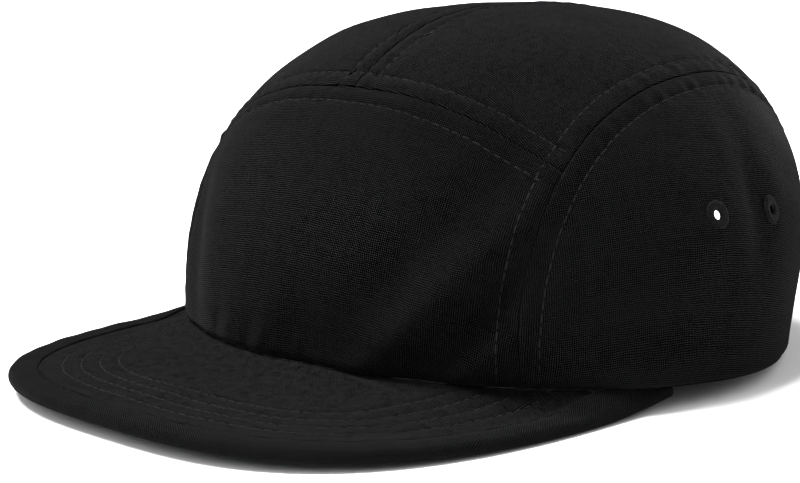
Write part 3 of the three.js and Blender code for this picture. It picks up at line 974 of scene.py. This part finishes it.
def stitch_shape(thread, span):
    """One stitch as a low arch of thread, its middle at the origin and its length along X."""
    clear_selection()
    bpy.ops.mesh.primitive_cylinder_add(
        vertices=6, radius=thread / 2, depth=span, rotation=(0, math.pi / 2, 0), end_fill_type="NGON"
    )
    stitch = bpy.context.object
    bpy.ops.object.transform_apply(location=True, rotation=True, scale=True)
    bpy.ops.object.mode_set(mode="EDIT")
    for place in (-0.42, -0.3, -0.12, 0.12, 0.3, 0.42):
        bpy.ops.mesh.select_all(action="SELECT")
        bpy.ops.mesh.bisect(plane_co=(place * span, 0, 0), plane_no=(1, 0, 0))
    bpy.ops.object.mode_set(mode="OBJECT")
    points = np.array([vertex.co for vertex in stitch.data.vertices])
    share = 2 * points[:, 0] / span
    slim = 1 - 0.45 * share**4
    points[:, 1] *= slim
    points[:, 2] = points[:, 2] * slim + thread * (0.32 - 0.95 * share**4)
    faces = [tuple(face.vertices) for face in stitch.data.polygons]
    drop(stitch)
    return points, faces


def lay_stitches(name, shape, places):
    """Copies one stitch to many places, each a middle, a way along, a way out and a length."""
    points, faces = shape
    span = np.ptp(points[:, 0])
    all_points = []
    all_faces = []
    for middle, along, out, reach in places:
        along = unit(along)
        across = unit(np.cross(out, along))
        up = np.cross(along, across)
        placed = points * [reach / span, 1, 1] @ np.array([along, across, up]) + middle
        start = len(all_points) * len(points)
        all_points.append(placed)
        all_faces.extend(tuple(start + corner for corner in face) for face in faces)
    mesh = bpy.data.meshes.new(name)
    mesh.from_pydata(np.concatenate(all_points).tolist(), [], all_faces)
    mesh.update()
    piece = bpy.data.objects.new(name, mesh)
    bpy.context.scene.collection.objects.link(piece)
    return piece


def row_of_stitches(line, out, pitch, span, rng):
    """Even stitches along a line, a little unlike each other."""
    run = travelled(line)
    places = []
    for start in np.arange(0.3 * pitch, run[-1] - span, pitch):
        reach = span * rng.uniform(0.93, 1.07)
        ends = [start, start + reach]
        a, b = (np.array([np.interp(end, run, line[:, k]) for k in range(3)]) for end in ends)
        normal = np.array([np.interp(start + reach / 2, run, out[:, k]) for k in range(3)])
        middle = np.array([np.interp(start + reach / 2, run, line[:, k]) for k in range(3)])
        across = unit(np.cross(normal, b - a))
        sway = across * rng.uniform(-0.08, 0.08) * MM
        b = b + across * rng.uniform(-0.16, 0.16) * MM
        places.append((middle * 0.5 + (a + b) * 0.25 + sway, b - a, unit(normal), np.linalg.norm(b - a)))
    return places


def beside(crown, line, distance):
    """The line at a distance beside a seam, to its left as seen from outside, on the smooth cloth."""
    turn, climb = crown.settle(line)
    out = crown.outward(turn, climb)
    heading = unit(np.gradient(line, axis=0))
    aside = unit(np.cross(out, heading))
    return line + aside * distance


def crown_rows(crown):
    """The rows of stitches beside the crown's seams, by piece."""
    distance = crown.stitch.aside
    margin = crown.seams.roll * 0.8

    def inside_sides(points):
        return np.abs(points[:, 0]) < crown.side_seam(points[:, 1]) - margin

    def behind_front(points):
        return points[:, 1] > crown.front_seam(points[:, 0]) + margin

    def past_ends(line, reach):
        first = line[0] - unit(line[1] - line[0]) * np.linspace(reach, 0.5 * MM, 16)[:, None]
        last = line[-1] + unit(line[-1] - line[-2]) * np.linspace(0.5 * MM, reach, 16)[:, None]
        return np.concatenate([first, line, last])

    front = past_ends(crown.front_line, 9 * MM)
    # A known fault: this row lies in the opening, where it should lie on the cloth beside the arch.
    arch = beside(crown, crown.arch_line, -distance)
    rows = {
        "front_seam_stitches": [beside(crown, front, way * distance) for way in (1, -1)],
        "centre_seam_stitches": [beside(crown, crown.centre_line, way * distance) for way in (1, -1)],
        "opening_stitches": [np.concatenate([arch, arch[::-1] * [-1, 1, 1]])],
    }
    for name, side in SIDES:
        lines = [beside(crown, crown.side_line, way * distance) * [side, 1, 1] for way in (1, -1)]
        rows[f"side_seam_stitches_{name}"] = lines
    rows["front_seam_stitches"] = [row[inside_sides(row)] for row in rows["front_seam_stitches"]]
    rows["centre_seam_stitches"] = [row[behind_front(row)] for row in rows["centre_seam_stitches"]]
    return rows


class CAP_OT_seam_stitches(bpy.types.Operator):
    """Sews the rows of stitches beside the crown's seams"""

    bl_idname = "cap.seam_stitches"
    bl_label = "Seam Stitches"

    def execute(self, context):
        crown = Crown()
        stitch = stitch_sizes()
        shape = stitch_shape(stitch.thread, stitch.span)
        rng = np.random.default_rng(11)
        for name, lines in crown_rows(crown).items():
            places = []
            for line in lines:
                turn, climb = crown.settle(in_steps(line, MM))
                points, out, _ = crown.cloth(turn, climb)
                places += row_of_stitches(points, out, stitch.pitch, stitch.span, rng)
            piece = lay_stitches(name, shape, places)
            finish_piece(piece, "stitch thread", angle=80)
        return {"FINISHED"}


class CAP_OT_eyelets(bpy.types.Operator):
    """Winds the thread of the four eyelets"""

    bl_idname = "cap.eyelets"
    bl_label = "Eyelets"

    def execute(self, context):
        crown = Crown()
        sizes = context.scene.cap_eyelets
        rng = np.random.default_rng(3)
        for name, side in SIDES:
            for end, (place, out) in zip(("front", "back"), eyelet_places(crown, side)):
                low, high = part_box(f"eyelet_{name}_{end}")
                edge = (high.z - low.z) / 2
                band = edge - sizes.hole / 2
                shape = stitch_shape(sizes.thread, band)
                around = unit(np.cross(out, [0, 0, 1]))
                over = np.cross(around, out)
                places = []
                for k in range(sizes.turns):
                    angle = 2 * np.pi * (k + rng.uniform(-0.15, 0.15)) / sizes.turns
                    away = around * math.cos(angle) + over * math.sin(angle)
                    reach = band * rng.uniform(0.97, 1.08)
                    middle = place + away * (sizes.hole / 2 + reach / 2) + out * sizes.proud * 0.4
                    places.append((middle, away + out * rng.uniform(-0.05, 0.05), out, reach))
                ring = lay_stitches(f"eyelet_{name}_{end}_thread", shape, places)
                clear_selection()
                bpy.ops.mesh.primitive_torus_add(
                    major_segments=48,
                    minor_segments=16,
                    major_radius=(edge + sizes.hole / 2) / 2,
                    minor_radius=band / 2,
                    location=place,
                    rotation=Vector(out).to_track_quat("Z", "Y").to_euler(),
                )
                core = bpy.context.object
                normal = Vector(out)
                flatness = 1 - 1.3 * sizes.proud / band
                flatten = Matrix.Identity(3) - flatness * Matrix([[a * b for b in normal] for a in normal])
                bpy.ops.object.transform_apply(location=True, rotation=True, scale=True)
                core.data.transform(
                    Matrix.Translation(Vector(place)) @ flatten.to_4x4() @ Matrix.Translation(-Vector(place))
                )
                pick(ring, core)
                bpy.ops.object.join()
                finish_piece(ring, "eyelet thread", [f"eyelet_{name}_{end}"], angle=80)
        return {"FINISHED"}


# Peak


RIBS = 260
PEAK_STEPS = 64


class Peak:
    """The peak's outline and heights, from the sizes"""

    def __init__(self, crown):
        self.sizes = peak_sizes()
        self.crown = crown
        self.width = binding_box[1].x - binding_box[0].x
        sizes = self.sizes
        self.binding_height = sizes.board + 2 * (sizes.binding_cloth + GAP)

    def outline(self, share):
        """The edge in plan, from the left side (0) round the front to the right side (1)."""
        sizes = self.sizes
        aside, ahead = np.cos(share * np.pi), np.maximum(0, np.sin(share * np.pi))
        power = 2 / sizes.squareness
        reach = crown_sizes().front + sizes.reach - sizes.side
        x = np.sign(aside) * self.width / 2 * np.abs(aside) ** power
        y = self.crown.axis - sizes.side - reach * ahead**power
        return np.stack([x, y], axis=-1)

    def inward(self, share):
        """Direction into the peak, square to its edge."""
        ahead = self.outline(np.minimum(share + 1e-4, 1))
        along = ahead - self.outline(np.maximum(share - 1e-4, 0))
        return unit(np.stack([along[..., 1], -along[..., 0]], axis=-1))

    def lift(self, edge):
        """Height of the edge over the surface."""
        sizes = self.sizes
        arch = 1 - np.abs(2 * edge[..., 0] / self.width) ** sizes.arch_ease
        corner = np.maximum(0, 1 + (edge[..., 1] - self.crown.axis + sizes.side) / sizes.corner_run)
        tilt = 0.5 - edge[..., 0] / self.width
        return sizes.arch * arch + sizes.corner_lift * corner**2 + sizes.tilt * tilt

    def rise(self, edge, into):
        """How steeply the binding's top goes up from the edge, to meet the rim where it passes under it."""
        crown, sizes = self.crown, self.sizes
        away = edge - crown.foot[:2]
        turn = np.arctan2(away[:, 1], away[:, 0])
        rim = crown.skin(turn, np.zeros_like(turn))[:, :2] - crown.foot[:2]
        ahead = np.linalg.norm(away, axis=1) - np.linalg.norm(rim, axis=1)
        under = np.maximum(-ahead * (unit(away) * into).sum(axis=1), 3 * MM)
        wanted = (crown.lift(turn) - 0.4 * MM - self.lift(edge) - self.binding_height) / under
        near = 1 - smooth_step(sizes.binding_width, 1.8 * sizes.binding_width, under)
        return sizes.rise + (np.maximum(wanted, sizes.rise) - sizes.rise) * near

    def shares(self, count):
        """Places along the outline, evenly spaced by length."""
        fine = np.linspace(0, 1, 4001)
        outline = self.outline(fine)
        run = travelled(np.pad(outline, ((0, 0), (0, 1))))
        return np.interp(np.linspace(0, run[-1], count), run, fine)

    def row_gaps(self):
        return [self.sizes.first_row + k * self.sizes.row_spacing for k in range(self.sizes.rows)]

    def top_rows(self, shares):
        """The peak's edge and its top, rib by rib, from the binding to where it ends under the crown."""
        sizes = self.sizes
        edge = self.outline(shares)
        into = self.inward(shares)
        lift = self.lift(edge)
        foot = self.crown.foot[:2]
        turn = np.arctan2(edge[:, 1] - foot[1], edge[:, 0])
        radial = unit(edge - foot)
        rim = self.crown.skin(turn, np.zeros_like(turn))[:, :2] - foot
        bare = sizes.binding_width + 0.1 * MM
        start = edge + into * bare
        reach = np.linalg.norm(start - foot, axis=1)
        root_reach = np.minimum(np.linalg.norm(rim, axis=1), reach - 1.5 * MM)
        root = foot + radial * root_reach[:, None]
        inner = foot + radial * (root_reach - sizes.tuck)[:, None]
        root_top = self.crown.lift(turn) - GAP
        bare_top = lift + self.binding_height - GAP + self.rise(edge, into) * sizes.binding_width
        bare_top = np.minimum(bare_top, root_top)
        shares_in = np.linspace(0, 1, PEAK_STEPS) ** 1.15
        plan = start[:, None] + (root - start)[:, None] * shares_in[None, :, None]
        height = bare_top[:, None] + (root_top - bare_top)[:, None] * shares_in[None] ** sizes.ease
        return edge, lift, plan, height, inner, root_top

    def relief(self, plan, fine_outline):
        """Rows of stitches pull the top in, and the cloth rolls down at the binding."""
        flat = np.pad(plan.reshape(-1, 2), ((0, 0), (0, 1)))
        gap, _ = nearest(flat, np.pad(fine_outline, ((0, 0), (0, 1))))
        channel = stitch_sizes().channel
        height = np.zeros(len(flat))
        for row in self.row_gaps():
            height -= channel * np.exp(-(((gap - row) / (0.75 * MM)) ** 2))
        roll = 1.0 * MM
        inside = np.clip(gap - self.sizes.binding_width, 0, roll)
        height += np.sqrt(np.maximum(0, roll**2 - (roll - inside) ** 2)) - roll
        height += 0.04 * MM * self.crown.unevenness(flat) * smooth_step(9 * MM, 14 * MM, gap)
        return height.reshape(plan.shape[:-1]), gap.reshape(plan.shape[:-1])


def trim_to_crown(crown, piece):
    """Trims a piece to the inside of the rim."""
    turn = np.linspace(0, 2 * np.pi, 145)[:-1]
    smooth = crown.skin(turn, np.zeros_like(turn))
    outline = smooth - crown.outward(turn, np.zeros_like(turn)) * crown.sizes.wall
    clear_selection()
    bpy.ops.mesh.primitive_circle_add(vertices=len(turn), radius=1, fill_type="NGON")
    core = bpy.context.object
    outline[:, 2] = -20 * MM
    core.data.vertices.foreach_set("co", outline.astype(np.float32).ravel())
    core.data.update()
    bpy.ops.object.mode_set(mode="EDIT")
    bpy.ops.mesh.select_all(action="SELECT")
    bpy.ops.mesh.extrude_region_move(TRANSFORM_OT_translate={"value": (0, 0, 80 * MM)})
    bpy.ops.mesh.select_all(action="SELECT")
    bpy.ops.mesh.normals_make_consistent(inside=False)
    bpy.ops.object.mode_set(mode="OBJECT")
    apply_modifier(piece, "BOOLEAN", operation="DIFFERENCE", solver="MANIFOLD", object=core)
    drop(core)


class CAP_OT_peak(bpy.types.Operator):
    """Covers the peak's board with canvas"""

    bl_idname = "cap.peak"
    bl_label = "Peak"

    def execute(self, context):
        crown = Crown()
        peak = Peak(crown)
        sizes = peak.sizes
        shares = peak.shares(RIBS + 1)
        edge, lift, plan, height, inner, root_top = peak.top_rows(shares)
        relief, _ = peak.relief(plan, peak.outline(peak.shares(1200)))
        height = height + relief
        under_edge = edge + peak.inward(shares) * 2.2 * MM
        bottom = lift + sizes.binding_cloth + GAP
        board_top = bottom + sizes.board
        body = sizes.board + sizes.rise * sizes.binding_width + sizes.binding_cloth
        top = [
            np.column_stack([under_edge, board_top]),
            np.column_stack([plan[:, 0], height[:, 0] - 0.5 * MM]),
            *(np.column_stack([plan[:, k], height[:, k]]) for k in range(PEAK_STEPS)),
            np.column_stack([inner, root_top]),
        ]
        under = []
        for k in (PEAK_STEPS + 2, PEAK_STEPS + 1, *range(PEAK_STEPS - 3, 2, -6), 1):
            row = top[k].copy()
            row[:, 2] = np.maximum(bottom, row[:, 2] - body)
            under.append(row)
        under.append(np.column_stack([under_edge, bottom]))
        rows = np.stack([*top, *under, top[0]])
        flat = rows[..., :2].copy()
        piece = lay_grid("peak_cloth", rows, flat, closed=True)
        trim_to_crown(crown, piece)
        finish_piece(piece, "peak cloth painted lighter", ["peak"])
        return {"FINISHED"}


class CAP_OT_binding(bpy.types.Operator):
    """Folds the binding round the peak's edge"""

    bl_idname = "cap.binding"
    bl_label = "Peak Binding"

    def execute(self, context):
        crown = Crown()
        peak = Peak(crown)
        sizes = peak.sizes
        shares = peak.shares(RIBS + 1)
        edge = peak.outline(shares)
        into = peak.inward(shares)
        lift = peak.lift(edge)
        rise = peak.rise(edge, into)
        top = peak.binding_height
        nose = top / 2
        fold = 0.75 * MM
        width = sizes.binding_width
        arc = np.linspace(-np.pi / 2, np.pi / 2, 9)
        section = [(width - fold + fold * math.cos(a), top - fold + fold * math.sin(a)) for a in arc]
        section += [
            (q, top + 0.22 * MM * math.sin(math.pi * (q - nose) / (width - fold - nose)))
            for q in np.linspace(width - fold, nose, 9)[1:-1]
        ]
        section += [
            (nose - nose * math.sin(a), nose + nose * math.cos(a)) for a in np.linspace(0, np.pi, 19)
        ]
        section += [(q, 0) for q in np.linspace(nose, width - fold, 5)[1:]]
        section += [(width, fold / 2), (width - fold, fold)]
        inner = 1.2 * MM
        section += [(nose, inner), (nose - 1 * MM, nose), (nose, top - inner)]
        section.append((width - fold, top - 2 * fold))
        run = travelled(np.pad(edge, ((0, 0), (0, 1))))
        section = np.array(section)
        around = travelled(np.pad(section, ((0, 0), (0, 1))))
        rows = []
        for gap, height in section:
            upper = smooth_step(0.3 * top, 0.9 * top, height)
            sway = 0.07 * MM * (np.sin(run / (2.1 * MM)) + np.sin(run / (3.7 * MM) + 1)) * upper
            plan = edge + into * gap
            tall = lift + height + rise * gap * (height > top / 2) + sway
            turn = np.arctan2(plan[:, 1] - crown.axis, plan[:, 0])
            rows.append(np.column_stack([plan, np.minimum(tall, crown.lift(turn) - GAP)]))
        rows.append(rows[0])
        rows = np.stack(rows)
        around = np.append(around, around[-1])
        flat = np.stack(np.broadcast_arrays(run[None, :], around[:, None]), axis=-1)
        piece = lay_grid("peak_binding_cloth", rows, flat, closed=True)
        trim_to_crown(crown, piece)
        finish_piece(piece, "binding cloth", ["peak_binding"])
        return {"FINISHED"}


class CAP_OT_peak_stitches(bpy.types.Operator):
    """Sews the rows of stitches on the peak"""

    bl_idname = "cap.peak_stitches"
    bl_label = "Peak Stitches"

    def execute(self, context):
        crown = Crown()
        peak = Peak(crown)
        stitch = stitch_sizes()
        shape = stitch_shape(stitch.thread, stitch.span)
        rng = np.random.default_rng(17)
        shares = peak.shares(700)
        outline = peak.outline(shares)
        edge, lift, plan, height, _, _ = peak.top_rows(shares)
        relief, gap = peak.relief(plan, outline)
        height = height + relief
        places = []
        for row_gap in peak.row_gaps():
            reached = (gap > row_gap).argmax(axis=1)
            found = (reached > 0) & (gap.max(axis=1) > row_gap + 1 * MM)
            ribs = np.nonzero(found)[0]
            after = reached[ribs]
            share = (row_gap - gap[ribs, after - 1]) / (gap[ribs, after] - gap[ribs, after - 1])
            first = np.column_stack([plan[ribs, after - 1], height[ribs, after - 1]])
            second = np.column_stack([plan[ribs, after], height[ribs, after]])
            line = in_steps(first + (second - first) * share[:, None], MM)
            out = np.broadcast_to([0.0, 0.0, 1.0], line.shape)
            places += row_of_stitches(line, out, stitch.pitch, stitch.span, rng)
        piece = lay_stitches("peak_row_stitches", shape, places)
        finish_piece(piece, "stitch thread", angle=80)
        return {"FINISHED"}


def lay_band(crown, name, turns, heights, depths, corner):
    """Lays a band along the back of the crown, with round edges, between two heights and two depths."""
    low, high = heights
    near, far = depths
    arc = [(corner * math.cos(a), corner * math.sin(a)) for a in np.linspace(np.pi / 2, 0, 4)]
    section = [(high - corner + up, near + corner - out) for up, out in arc]
    section += [(high - corner + up, far - corner + out) for up, out in arc[::-1]]
    section += [(low + corner - up, far - corner + out) for up, out in arc]
    section += [(low + corner - up, near + corner - out) for up, out in arc[::-1]]
    section.append(section[0])
    rows = []
    for height, depth in section:
        surface = crown.at_height(turns, np.full_like(turns, height))
        _, climb = crown.settle(surface)
        rows.append(surface - crown.outward(turns, climb) * depth)
    rows = np.stack(rows)
    run = travelled(rows[0])
    around = travelled(np.pad(np.array(section), ((0, 0), (0, 1))))
    flat = np.stack(np.broadcast_arrays(run[None, :], around[:, None]), axis=-1)
    return lay_grid(name, rows, flat, closed=True)


class CAP_OT_closure(bpy.types.Operator):
    """Weaves the strap across the opening, with its plain clasp"""

    bl_idname = "cap.closure"
    bl_label = "Strap and Clasp"

    def execute(self, context):
        crown = Crown()
        low, high = strap_box[0].z, strap_box[1].z
        near = crown.sizes.wall + GAP
        far = near + STRAP_CLOTH
        half_turn = math.atan2(strap_box[1].x, strap_box[0].y - crown.axis)
        turns = np.pi / 2 + half_turn * np.linspace(-1, 1, 81)
        strap = lay_band(crown, "closure_strap_webbing", turns, (low, high), (near, far), STRAP_CLOTH / 2)
        finish_piece(strap, "strap cloth", ["closure_strap"])

        low, high = clasp_box[0].z, clasp_box[1].z
        half_turn = math.atan2(clasp_box[1].x, clasp_box[0].y - crown.axis)
        turns = np.pi / 2 + half_turn * np.linspace(-1, 1, 15)
        bar = (high - strap_box[1].z) - GAP
        depths = (near - GAP - bar, far + GAP + bar)
        clasp = lay_band(crown, "closure_clasp_sleeve", turns, (low, high), depths, bar)
        apply_modifier(
            clasp, "BEVEL", width=0.6 * MM, segments=3, limit_method="ANGLE", angle_limit=math.radians(60)
        )
        finish_piece(clasp, "clasp plastic", ["closure_clasp"], angle=40)
        return {"FINISHED"}


class CAP_OT_stage(bpy.types.Operator):
    """Sets the floor, the light and the camera"""

    bl_idname = "cap.stage"
    bl_label = "Stage"

    def execute(self, context):
        scene = context.scene
        stage = scene.cap_stage
        clear_selection()
        bpy.ops.mesh.primitive_plane_add(size=24)
        floor = bpy.context.object
        floor.name = "floor"
        paper = Finish("floor paper")
        paper.surface(Base_Color=(0.96, 0.96, 0.96, 1), Roughness=0.9, Specular_IOR_Level=0.1)
        floor.data.materials.append(paper.material)

        world = scene.world or bpy.data.worlds.new("studio")
        scene.world = world
        world.use_nodes = True
        world.node_tree.nodes["Background"].inputs["Color"].default_value = (1, 1, 1, 1)
        world.node_tree.nodes["Background"].inputs["Strength"].default_value = 0.4

        azimuth, elevation = math.radians(stage.azimuth), math.radians(stage.elevation)
        flat = math.cos(elevation)
        back = Vector((math.sin(azimuth) * flat, -math.cos(azimuth) * flat, math.sin(elevation)))
        right = Vector((math.cos(azimuth), math.sin(azimuth), 0))
        up = back.cross(right)
        tilt = math.radians(stage.roll)
        right, up = (
            right * math.cos(tilt) + up * math.sin(tilt),
            up * math.cos(tilt) - right * math.sin(tilt),
        )
        target = Vector((0, 0, stage.middle)) + right * stage.aside + up * stage.over
        camera = bpy.data.objects.new("camera", bpy.data.cameras.new("camera"))
        scene.collection.objects.link(camera)
        pose = Matrix((right, up, back)).transposed().to_4x4()
        pose.translation = target + back * stage.distance
        camera.matrix_world = pose
        camera.data.lens = stage.lens
        camera.data.sensor_width = 36
        camera.data.clip_start = 0.01
        scene.camera = camera

        toward = Vector((back.x, back.y, 0)).normalized()
        level = Vector((right.x, right.y, 0)).normalized()
        for name, aside, ahead, height, spread, power in (
            ("key light", -0.36, -0.12, 1.0, 30, 9.6),
            ("side light", -0.8, 0.5, 0.7, 40, 1.0),
            ("back light", 0.9, -0.6, 0.55, 60, 1.4),
        ):
            light = bpy.data.objects.new(name, bpy.data.lights.new(name, "SUN"))
            scene.collection.objects.link(light)
            light.data.angle = math.radians(spread)
            light.data.energy = power
            source = level * aside + toward * ahead + Vector((0, 0, height))
            light.location = source
            light.rotation_mode = "QUATERNION"
            light.rotation_quaternion = source.to_track_quat("Z", "Y")
        scene.view_settings.view_transform = "Standard"
        scene.view_settings.look = "None"
        return {"FINISHED"}


class CAP_PT_sewing(bpy.types.Panel):
    """The cap's pieces in the order they are made"""

    bl_label = "Five Panel Cap"
    bl_idname = "CAP_PT_sewing"
    bl_space_type = "VIEW_3D"
    bl_region_type = "UI"
    bl_category = "Cap"

    def draw(self, context):
        for name in STEPS:
            self.layout.operator(f"cap.{name}")


STEPS = (
    "stage",
    "front_panel",
    "top_panels",
    "side_panels",
    "eyelets",
    "seam_stitches",
    "peak",
    "binding",
    "peak_stitches",
    "closure",
)

GROUPS = {
    "cap_crown": CapCrownSizes,
    "cap_seams": CapSeamSizes,
    "cap_stitches": CapStitchSizes,
    "cap_eyelets": CapEyeletSizes,
    "cap_peak": CapPeakSizes,
    "cap_finish": CapFinish,
    "cap_stage": CapStage,
}

CLASSES = (
    *GROUPS.values(),
    CAP_OT_stage,
    CAP_OT_front_panel,
    CAP_OT_top_panels,
    CAP_OT_side_panels,
    CAP_OT_eyelets,
    CAP_OT_seam_stitches,
    CAP_OT_peak,
    CAP_OT_binding,
    CAP_OT_peak_stitches,
    CAP_OT_closure,
    CAP_PT_sewing,
)


def register():
    for item in CLASSES:
        bpy.utils.register_class(item)
    for name, group in GROUPS.items():
        setattr(bpy.types.Scene, name, PointerProperty(type=group))


def unregister():
    for name in GROUPS:
        delattr(bpy.types.Scene, name)
    for item in reversed(CLASSES):
        bpy.utils.unregister_class(item)


def main():
    register()
    for name in STEPS:
        getattr(bpy.ops.cap, name)()


if __name__ == "__main__":
    main()
